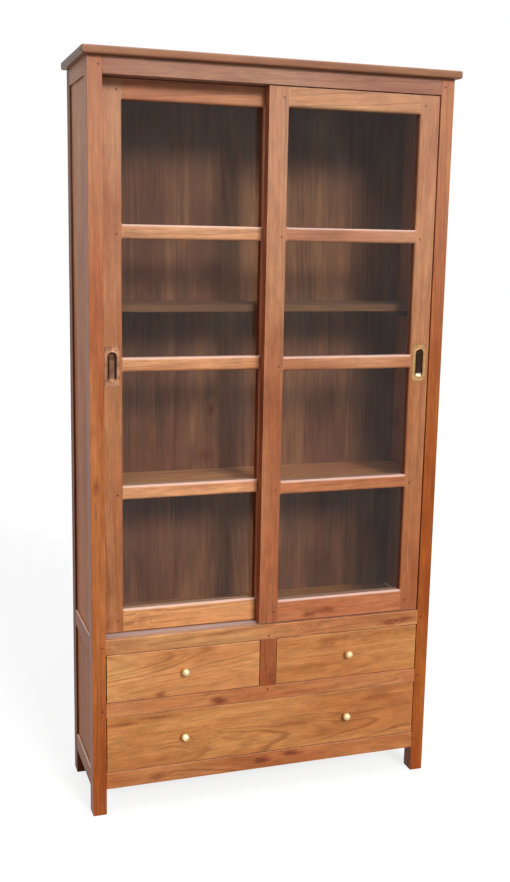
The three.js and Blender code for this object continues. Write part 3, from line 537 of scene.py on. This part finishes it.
# The posts' faces that look left and right are darkened, as painted shade
POST = {"height_shading": 1.0, "pale_film": 0.2, "gloss": 0.15, "side_shade": (0.84, 0.74, 0.8)}
CASE_WOOD = {
    # node: grain, tones, heart, width of its rubbed arrises, more
    "left_front_post": ("Z", "post", (0.16, 0.12, 0), 1.5, {"tint": (0.97, 0.93, 0.86), **POST}),
    "right_front_post": ("Z", "post", (-0.2, 0.1, 0), 1.5, {
        "tint": (0.98, 0.92, 0.64), **POST, "height_shading": 1.2,
    }),
    "left_back_post": ("Z", "frame", (0.1, 0.14, 0), 1.2, BACK_POST_PAINTED_SHADE),
    "right_back_post": ("Z", "frame", (0.12, 0.12, 0), 1.2, BACK_POST_PAINTED_SHADE),
    "left_side_top_rail": ("Y", "frame", (0.09, 0, 0.05), 1.0, SIDE),
    "right_side_top_rail": ("Y", "frame", (-0.1, 0, 0.04), 1.0, SIDE),
    "left_side_middle_rail": ("Y", "frame", (0.12, 0, 0.05), 1.0, SIDE),
    "right_side_middle_rail": ("Y", "frame", (-0.12, 0, -0.04), 1.0, SIDE),
    "left_side_bottom_rail": ("Y", "frame", (0.1, 0, -0.05), 1.0, SIDE),
    "right_side_bottom_rail": ("Y", "frame", (-0.1, 0, 0.04), 1.0, SIDE),
    "left_side_upper_panel": ("Z", "panel", (0.09, 0.04, 0), 0, PANEL_PAINTED_SHEEN),
    "left_side_lower_panel": ("Z", "panel", (0.07, -0.03, 0), 0, LOW_PANEL_PAINTED_SHEEN),
    "right_side_upper_panel": ("Z", "panel", (-0.08, -0.05, 0), 0, PANEL_PAINTED_SHEEN),
    "right_side_lower_panel": ("Z", "panel", (-0.09, 0.04, 0), 0, LOW_PANEL_PAINTED_SHEEN),
    "front_top_rail": ("X", "frame", (0, 0.14, 0.18), 1.2, {"tint": (0.73, 0.78, 0.96), "pale_film": 0.1}),
    "drawer_rail_frame": ("X", "frame", (0, 0.1, 0.06), 1.0, {"tint": (1.22, 1.28, 1.3), "pale_film": 0.1}),
    "bottom_front_rail": ("X", "frame", (0, 0.11, -0.05), 1.2, {"tint": (1.1, 1.16, 1.1), "pale_film": 0.1}),
    "drawer_divider": ("Z", "post", (0.1, 0.1, 0), 1.0, {"tint": (0.84, 0.84, 0.84), "pale_film": 0.1}),
    "back_top_rail": ("X", "frame", (0, -0.1, 0.05), 1.0, {}),
    "back_bottom_rail": ("X", "frame", (0, -0.12, 0.03), 1.0, {}),
    "back_panel": ("Z", "inner", (0.02, 0.09, 0), 0, {"board_width": BACK_WIDTH / BACK_BOARDS, **INSIDE}),
    "cabinet_floor": ("X", "shelf", (0, 0.03, -0.1), 1.0, {
        "height_shading": 0.0, "pale_film": 0.8, "film_span": (0, 46), "film": GREY_DUST_AND_SHEEN, "tint": (1.14, 1.04, 0.76),
    }),
    # Darkened, as painted shade
    "upper_shelf": ("X", "shelf", (0, -0.03, -0.12), 1.0, {"tint": (0.58, 0.53, 0.54), **INSIDE}),
    # Made paler, as painted light falling on its front
    "lower_shelf": ("X", "shelf", (0, 0.04, 0.11), 1.0, {"tint": (1.72, 1.5, 1.06), **INSIDE}),
}
for name, (grain, tones, heart, width, more) in CASE_WOOD.items():
    nodes[name].data.materials[0] = wood(name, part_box(name), grain, tones, heart, **more)
    if width:
        ease(nodes[name], width)

DRAWERS = {
    # drawer: heart of its front's log, tint
    "upper_left_drawer": ((0, 0.07, 0.05), (1.38, 1.66, 1.74)),
    "upper_right_drawer": ((0, 0.08, -0.03), (1.14, 1.2, 1.1)),
    "lower_drawer": ((0, 0.06, -0.04), (1.14, 1.2, 1.12)),
}
for drawer, (heart, tint) in DRAWERS.items():
    front, tray = f"{drawer}_front", f"{drawer}_tray"
    nodes[front].data.materials[0] = wood(front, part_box(front), "X", "drawer", heart, rings=190,
                                          strength=0.66, wobble=6.5, tilt=(1.5, 3), pale_film=0.1, tint=tint)
    nodes[tray].data.materials[0] = wood(tray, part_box(tray), "Y", "shelf", (0.1, 0, 0.1), **INSIDE)
    ease(nodes[front], 1.2)
    ease(nodes[tray], 0.8)

# ---------------------------------------------------------------- top board and sill
TOP_RADIUS, TOP_SEGMENTS = 5, 5
low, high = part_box("top_board")
mesh = bmesh.new()
rounded_board(mesh, low, high, TOP_RADIUS * MM, TOP_SEGMENTS)
# The board's ends are darkened, as painted shade
top_wood = wood("top_board", (low, high), "X", "frame", (0, 0.05, -0.11), pale_film=0.15,
                tint=(0.56, 0.48, 0.34), side_shade=(0.62, 0.68, 0.6))
piece("top_board_rounded", mesh, top_wood, "case", ["top_board"])

SILL_LOW, SILL_HIGH, SILL_END, SILL_BACK = 440, 481, 439, 26
# The right door's groove, and the sill's front arrises: the upper one is rounded, the lower one eased
SILL_GROOVE, SILL_GROOVE_FLOOR = (16, 22), SILL_HIGH - 6
SILL_RADIUS, SILL_EASE = 3, 1.2
sill = [
    (SILL_EASE, SILL_LOW), (SILL_BACK, SILL_LOW), (SILL_BACK, SILL_HIGH),
    (SILL_GROOVE[1], SILL_HIGH), (SILL_GROOVE[1], SILL_GROOVE_FLOOR),
    (SILL_GROOVE[0], SILL_GROOVE_FLOOR), (SILL_GROOVE[0], SILL_HIGH),
    *arc((SILL_RADIUS, SILL_HIGH - SILL_RADIUS), SILL_RADIUS, 90, 180, 6), (0, SILL_LOW + SILL_EASE),
]
mesh = bmesh.new()
loft(mesh, [[at(x, y, z) for y, z in sill] for x in (-SILL_END, SILL_END)])
sill_box = (at(-SILL_END, 0, SILL_LOW), at(SILL_END, SILL_BACK, SILL_HIGH))
sill_wood = wood("sill_rail", sill_box, "X", "frame", (0, 0.09, 0.05), pale_film=0.8, upward_range=(0.85, 0.99),
                 film=GREY_DUST_AND_SHEEN, film_span=(7, 60), tint=(1.24, 1.5, 1.55))
piece("sill_rail_eased", mesh, sill_wood, "case", ["sill_rail"])

# ---------------------------------------------------------------- doors
# A door's ends, thickness, stiles' width and half its panes' width, and how far to the side its middle is
DOOR_LOW, DOOR_HIGH, THICK, STILE, SIGHT, CENTRE = 484, 1862, 28, 53, 179, 205.5
# How far each door's front lies behind the posts' front
LEFT_FACE, RIGHT_FACE = 44, 5
RAILS = {
    "bottom_rail": (DOOR_LOW, 543), "bar_1": (834.5, 869.5), "bar_2": (1161, 1196), "bar_3": (1487.5, 1522.5),
    "top_rail": (1814, DOOR_HIGH),
}
spans = list(RAILS.values())
OPENINGS = [(below[1], above[0]) for below, above in zip(spans, spans[1:])]
# The panes' groove, and the tongues that run in the case's grooves
GROOVE_FRONT, GROOVE_BACK, GROOVE_DEPTH = 10, 14.6, 8
TONGUE_FRONT, TONGUE_BACK, TONGUE_BELOW, TONGUE_ABOVE = 11.4, 16.6, 8.7, 9
PULL_Z, PULL_X = 1174.5, 411
# Rooms that a pull is let into: half width, half height, depth
PLATE_ROOM, CUP_ROOM = (19.3, 49.3, 1.5), (11.9, 37.9, 8.7)
# The arrises beside the glass are rounded with a cutter that runs round each opening on a bearing
BEARING, RADIUS, STEPS = 5, 7, 6
# Sections of a stile lie at these distances past the cutter's straight run
RUN_OUT = (0, 1.5, 3, 4, 5, 6, 7.4, 8.9, 10.9)
# A rail's sections start this far from the stile, and follow each other at this step
RAIL_GAP, RAIL_STEP, RAIL_SECTIONS = 0.3, 0.78, 6
# Width of the eased arrises and of a stile's rounded outer one, and how far in the middle of that one lies
EASE, OUTER_EASE, OUTER_MIDDLE = 1, 1.2, 0.35
# How far from its height a section at the end of a pull's room looks up or down
NUDGE = 0.01
# Darkens the stiles' faces that look left and right, as painted shade
STILE_SIDE_SHADE = (0.74, 0.44, 0.36)


def routed(past):
    """Rounded arris, past mm beyond the cutter's straight run: (distance from the opening, depth) points."""
    reach = BEARING + RADIUS
    start = math.acos(min(1, max(0, (reach - math.hypot(past, BEARING)) / RADIUS)))
    points = []
    for i in range(STEPS + 1):
        angle = start + (math.pi / 2 - start) * i / STEPS
        run = reach - RADIUS * math.cos(angle)
        off = max(0, math.sqrt(max(0, run * run - past * past)) - BEARING)
        points.append((off, RADIUS * (1 - math.sin(angle))))
    return points


def rail_outline(z0, z1, below, above, past):
    """Section of a door rail or bar: the side towards a pane is rounded and grooved, the other has the
    tongue. below and above say where there is a pane."""
    arris = routed(past)
    front, back, inner, outer = GROOVE_FRONT, GROOVE_BACK, TONGUE_FRONT, TONGUE_BACK
    outline = []
    if below:
        deep = z0 + GROOVE_DEPTH
        outline += [(y, z0 + off) for off, y in reversed(arris)]
        outline += [(front, z0), (front, deep), (back, deep), (back, z0)]
    else:
        low = z0 - TONGUE_BELOW
        outline += [(0, z0 + EASE), (EASE, z0), (inner, z0), (inner, low), (outer, low), (outer, z0)]
    outline += [(THICK - EASE, z0), (THICK, z0 + EASE), (THICK, z1 - EASE), (THICK - EASE, z1)]
    if above:
        deep = z1 - GROOVE_DEPTH
        outline += [(back, z1), (back, deep), (front, deep), (front, z1)]
        outline += [(y, z1 - off) for off, y in arris]
    else:
        high = z1 + TONGUE_ABOVE
        outline += [(outer, z1), (outer, high), (inner, high), (inner, z1), (EASE, z1), (0, z1 - EASE)]
    return outline


def rail(mesh, centre, face, part):
    z0, z1 = RAILS[part]
    offsets = [BEARING - RAIL_GAP - i * RAIL_STEP for i in range(RAIL_SECTIONS)] + [0]
    places = [(centre - SIGHT + BEARING - past, past) for past in offsets]
    places += [(2 * centre - x, past) for x, past in reversed(places)]
    loft(mesh, [
        [at(x, y + face, z) for y, z in rail_outline(z0, z1, part != "bottom_rail", part != "top_rail", past)]
        for x, past in places
    ])


def stile_ring(x_of, face, z, past, plate, cup, groove=GROOVE_DEPTH, inside=(0, THICK)):
    """Section of a stile at z. plate and cup are how deep the pull's rooms are there, and inside is between
    which depths the section stays."""
    plate_x, cup_x = STILE / 2 - PLATE_ROOM[0], STILE / 2 - CUP_ROOM[0]
    points = routed(past)
    points += [(plate_x, 0), (plate_x, plate), (cup_x, plate), (cup_x, max(plate, cup))]
    points += [(STILE - off, y) for off, y in reversed(points[-4:])]
    points += [(STILE - OUTER_EASE, 0), (STILE - OUTER_MIDDLE, OUTER_MIDDLE), (STILE, OUTER_EASE)]
    points += [(STILE, THICK - EASE), (STILE - EASE, THICK), (EASE, THICK), (0, THICK - EASE)]
    points += [(0, GROOVE_BACK), (groove, GROOVE_BACK), (groove, GROOVE_FRONT), (0, GROOVE_FRONT)]
    return [at(x_of(off), face + min(max(y, inside[0]), inside[1]), z) for off, y in points]


def stile(mesh, x_of, face, pulled):
    rooms, steps = [(0, 0, 0)] * 2, []
    if pulled:
        rooms = [(PULL_Z - half, PULL_Z + half, depth) for _, half, depth in (PLATE_ROOM, CUP_ROOM)]
        steps = [z for low, high, _ in rooms for z in (low, high)]
    levels = {DOOR_LOW, DOOR_HIGH}
    for low, high in OPENINGS:
        for past in RUN_OUT:
            levels.update((low + BEARING - past, high - BEARING + past))

    def ring(z, seen_z, **more):
        past = min(max(low + BEARING - z, z - high + BEARING, 0) for low, high in OPENINGS)
        plate, cup = (depth if low < seen_z < high else 0 for low, high, depth in rooms)
        return stile_ring(x_of, face, z, past, plate, cup, **more)

    tongue = {"groove": 0, "inside": (TONGUE_FRONT, TONGUE_BACK)}
    rings = [ring(z, z, **tongue) for z in (DOOR_LOW - TONGUE_BELOW, DOOR_LOW)]
    for z in sorted(levels | set(steps)):
        # A room's end has two sections at one height: as it is just below and just above
        rings += [ring(z, z - NUDGE), ring(z, z + NUDGE)] if z in steps else [ring(z, z)]
    rings += [ring(z, z, **tongue) for z in (DOOR_HIGH, DOOR_HIGH + TONGUE_ABOVE)]
    loft(mesh, rings)


pane_glass = glass("pane_glass")
bronze = brass("bronze", tone(180, 132, 102), tone(120, 78, 58), patina=0.8, rough=0.34,
               pull=(-PULL_X, LEFT_FACE), grime_and_shade=0.6)
gold_brass = brass("gold_brass", tone(186, 146, 98), tone(126, 90, 60), patina=0.7, rough=0.3,
                   pull=(PULL_X, RIGHT_FACE), shine=(0.2, 1.2))
satin_brass = brass("satin_brass", tone(242, 224, 174), tone(178, 150, 100), patina=0.5, rough=0.36)

DOORS = {
    # door: side, front face, pull's metal, tint of each piece
    "left_door": (-1, LEFT_FACE, bronze, {
        "top_rail": (1.06, 1.02, 0.86), "bar_3": (1.38, 1.84, 1.95), "bar_2": (1.26, 1.44, 1.52),
        "bar_1": (1.5, 2.05, 2.3), "bottom_rail": (1.3, 1.54, 1.5), "outer_stile": (0.88, 0.92, 0.9),
        "inner_stile": (0.9, 0.84, 0.8),
    }),
    "right_door": (1, RIGHT_FACE, gold_brass, {
        "top_rail": (1.2, 1.58, 1.54), "bar_3": (0.92, 1.04, 1.13), "bar_2": (1.02, 1.1, 1.18),
        "bar_1": (0.98, 0.9, 0.9), "bottom_rail": (1.0, 0.92, 0.92), "outer_stile": (0.89, 0.92, 0.9),
        "inner_stile": (0.9, 0.94, 0.96),
    }),
}
for door, (side, face, _, tints) in DOORS.items():
    centre = side * CENTRE
    for part, (z0, z1) in RAILS.items():
        name = f"{door}_{part}"
        mesh = bmesh.new()
        rail(mesh, centre, face, part)
        box = (at(centre - SIGHT, face, z0), at(centre + SIGHT, face + THICK, z1))
        rail_wood = wood(name, box, "X", "door", (0, 0.1, 0.1), tint=tints[part])
        piece(f"{name}_routed", mesh, rail_wood, door, [name])
    for part, end in (("outer_stile", side), ("inner_stile", -side)):
        name = f"{door}_{part}"
        mesh = bmesh.new()
        stile(mesh, lambda off: centre + end * (SIGHT + off), face, end == side)
        edges = sorted((centre + end * SIGHT, centre + end * (SIGHT + STILE)))
        box = (at(edges[0], face, DOOR_LOW), at(edges[1], face + THICK, DOOR_HIGH))
        stile_wood = wood(name, box, "Z", "door", (0.12 * side, 0.1, 0), tint=tints[part], side_shade=STILE_SIDE_SHADE)
        piece(f"{name}_routed", mesh, stile_wood, door, [name])
    for i in range(1, 5):
        nodes[f"{door}_pane_{i}"].data.materials[0] = pane_glass


# ---------------------------------------------------------------- flush pulls
def oblong(x, z, width, height, radius, y):
    """Outline with round corners, always with the same count of points."""
    across, up = width / 2 - radius, height / 2 - radius
    points = []
    for (sx, sz), start in zip(((1, 1), (-1, 1), (-1, -1), (1, -1)), (0, 90, 180, 270)):
        points += arc((x + sx * across, z + sz * up), radius, start, start + 90, 8)
    return [at(px, y, pz) for px, pz in points]


PULL_RINGS = [
    # width, height, corner radius, depth behind the stile's face
    (38, 98, 3, 1.1), (38, 98, 3, -0.35), (37.2, 97.2, 2.6, -0.8), (27, 79, 13.4, -0.8),
    (25.6, 77.6, 12.8, -1.5), (23.6, 75.6, 11.8, -1.75), (21.8, 73.8, 10.9, -1.3), (21, 73, 10.5, -0.4),
    (20.8, 72.8, 10.4, 4.2), (19.6, 71.6, 9.8, 6.0), (17, 69, 8.5, 7.0), (12, 64, 6, 7.2),
]
PLATE_PROUD = 0.8
SCREW = [(0, -0.4), (2.5, -0.4), (2.5, 0.1), (2.1, 0.55), (1.2, 0.8), (0, 0.85)]
SCREW_X, SCREW_Z, SCREW_SIDES = 14.5, 43.5, 20
for door, (side, face, metal, _) in DOORS.items():
    x = side * PULL_X
    mesh = bmesh.new()
    loft(mesh, [oblong(x, PULL_Z, w, h, r, face + y) for w, h, r, y in PULL_RINGS])
    piece(f"{door}_pull_worn", mesh, metal, door, [f"{door}_pull"])
    mesh = bmesh.new()
    for sx in (-1, 1):
        for sz in (-1, 1):
            turned(mesh, SCREW, x + SCREW_X * sx, face - PLATE_PROUD, PULL_Z + SCREW_Z * sz, SCREW_SIDES)
    piece(f"{door}_pull_screws", mesh, metal, door)

# ---------------------------------------------------------------- knobs
KNOB = [
    (0, 0.3), (5.7, 0.3), (6, 0.6), (6, 1.2), (5.6, 1.6), (5, 1.9), (4.7, 2.3), (4.7, 2.7),
    *arc((0, 12.2), 10.8, -58, 80, 14), (0, 23),
]
DRAWER_FACE, KNOB_X, KNOB_SIDES = 1, 230.75, 40
UPPER_KNOB_Z, LOWER_KNOB_Z = 377, 195.5
KNOBS = {
    # knob: drawer, X, Z
    "upper_left_drawer_knob": ("upper_left_drawer", -KNOB_X, UPPER_KNOB_Z),
    "upper_right_drawer_knob": ("upper_right_drawer", KNOB_X, UPPER_KNOB_Z),
    "lower_drawer_left_knob": ("lower_drawer", -KNOB_X, LOWER_KNOB_Z),
    "lower_drawer_right_knob": ("lower_drawer", KNOB_X, LOWER_KNOB_Z),
}
for name, (body, x, z) in KNOBS.items():
    mesh = bmesh.new()
    turned(mesh, KNOB, x, DRAWER_FACE, z, KNOB_SIDES)
    piece(f"{name}_turned", mesh, satin_brass, body, [name], smooth=50)

# ---------------------------------------------------------------- dowels
PEG = [(0, -1), (3.1, -1), (3.1, 0.05), (2.4, 0.28), (1.2, 0.36), (0, 0.38)]
PEG_SIDES = 16
# In the posts at the ends of the front rails, and in the rails above and below the drawers' divider
POST_PEG_X, POST_PEG_LEVELS = 448.5, (1884.5, 460.5, 288.5, 93.5)
CASE_PEGS = [(sx * POST_PEG_X, z) for sx in (-1, 1) for z in POST_PEG_LEVELS] + [(0, 298), (0, 450)]
# In the doors' stiles at the ends of their rails and bars, but not where the pull is
DOOR_PEG_LEVELS, PULL_LEVEL, DOOR_PEG_INSET = (1836, 1499, 1172.5, 847, 513.5), 1172.5, 13.5
# The part of the case that their wood's log is laid out for
CASE_END, CASE_TOP, PEG_DEPTH = 475, 1905, 10
peg_box = (at(-CASE_END, 0, 0), at(CASE_END, PEG_DEPTH, CASE_TOP))
peg_wood = wood("peg_wood", peg_box, "X", "peg", (0, 0.3, 0.2), rings=400)
mesh = bmesh.new()
for x, z in CASE_PEGS:
    turned(mesh, PEG, x, 0, z, PEG_SIDES)
piece("case_pegs", mesh, peg_wood, "case")
for door, (side, face, *_) in DOORS.items():
    mesh = bmesh.new()
    for end in (-1, 1):
        x = side * CENTRE + end * (SIGHT + DOOR_PEG_INSET)
        for z in DOOR_PEG_LEVELS:
            if end != side or z != PULL_LEVEL:
                turned(mesh, PEG, x, face, z, PEG_SIDES)
    piece(f"{door}_pegs", mesh, peg_wood, door)

# ---------------------------------------------------------------- studio
SUNS = {
    # light: where it shines to, strength, spread in degrees
    "key": ((-0.2, 1.0, -0.56), 2.3, 18),
    "fill": ((0.5, 1.0, -0.8), 0.15, 90),
    "sky": ((0.2, 0.25, -1.0), 1.2, 100),
}
WHITE = (1, 1, 1, 1)
# The floor's half width, and how far it lies under the feet, in metres
FLOOR_REACH, FLOOR_DROP = 20, 0.0003


def seen_directly(graph):
    """1 for rays that show the background itself or its image in metal and glass."""
    ray = graph.add("ShaderNodeLightPath").outputs
    mirrored = graph.math("MAXIMUM", ray["Is Glossy Ray"], ray["Is Transmission Ray"])
    return graph.math("MAXIMUM", ray["Is Camera Ray"], mirrored)


def studio():
    world = bpy.data.worlds.new("studio")
    scene.world = world
    world.use_nodes = True
    world.node_tree.nodes.clear()
    graph = Tree(world.node_tree)
    # White where it is seen, and softer where it lights the bookcase
    soft = graph.add("ShaderNodeBackground", {"Color": (0.97, 0.985, 1.0, 1), "Strength": 0.24})
    white = graph.add("ShaderNodeBackground", {"Color": WHITE, "Strength": 1.0})
    mixed = graph.merge(seen_directly(graph), soft, white)
    graph.tree.links.new(mixed.outputs[0], graph.add("ShaderNodeOutputWorld").inputs["Surface"])

    for name, (aim, strength, spread) in SUNS.items():
        light = bpy.data.lights.new(name, "SUN")
        light.energy = strength
        light.angle = math.radians(spread)
        lamp = bpy.data.objects.new(name, light)
        lamp.rotation_euler = Vector(aim).to_track_quat("-Z", "Y").to_euler()
        scene.collection.objects.link(lamp)

    mesh = bmesh.new()
    bmesh.ops.create_grid(mesh, x_segments=1, y_segments=1, size=FLOOR_REACH)
    data = bpy.data.meshes.new("floor")
    mesh.to_mesh(data)
    mesh.free()
    floor = bpy.data.objects.new("floor", data)
    floor.location.z = -FLOOR_DROP
    scene.collection.objects.link(floor)
    material, graph = blank("floor")
    # Nearly white where it is seen, and darker where it throws light back
    pale = graph.add("ShaderNodeBsdfDiffuse", {"Color": (0.26, 0.26, 0.26, 1)})
    lit = graph.add("ShaderNodeBsdfDiffuse", {"Color": WHITE})
    glow = graph.add("ShaderNodeEmission", {"Color": WHITE, "Strength": 1.1})
    shown = graph.merge(0.7, lit, glow)
    surface(graph, graph.merge(seen_directly(graph), pale, shown))
    data.materials.append(material)


# Fitted to the photo: focal length and picture height in pixels, place in metres, turns in degrees
FOCAL_LENGTH, PICTURE_HEIGHT, SENSOR = 1103.279, 882, 36
CAMERA_PLACE = (-0.936681, -2.783059, 1.498236)
YAW, PITCH, ROLL = 18.545, -10.49, 1.068


def camera():
    data = bpy.data.cameras.new("camera")
    data.sensor_width = SENSOR
    data.lens = FOCAL_LENGTH * SENSOR / PICTURE_HEIGHT
    data.clip_end = 100
    made = bpy.data.objects.new("camera", data)
    scene.collection.objects.link(made)
    yaw, pitch, roll = (math.radians(a) for a in (YAW, PITCH, ROLL))
    forward = Vector((math.sin(yaw) * math.cos(pitch), math.cos(yaw) * math.cos(pitch), math.sin(pitch)))
    right = Vector((math.cos(yaw), -math.sin(yaw), 0))
    up = right.cross(forward)
    across = math.cos(roll) * right + math.sin(roll) * up
    over = math.cos(roll) * up - math.sin(roll) * right
    turn = Matrix((across, over, -forward)).transposed().to_4x4()
    made.matrix_world = Matrix.Translation(CAMERA_PLACE) @ turn
    scene.camera = made


studio()
camera()
scene.view_settings.view_transform = "Standard"
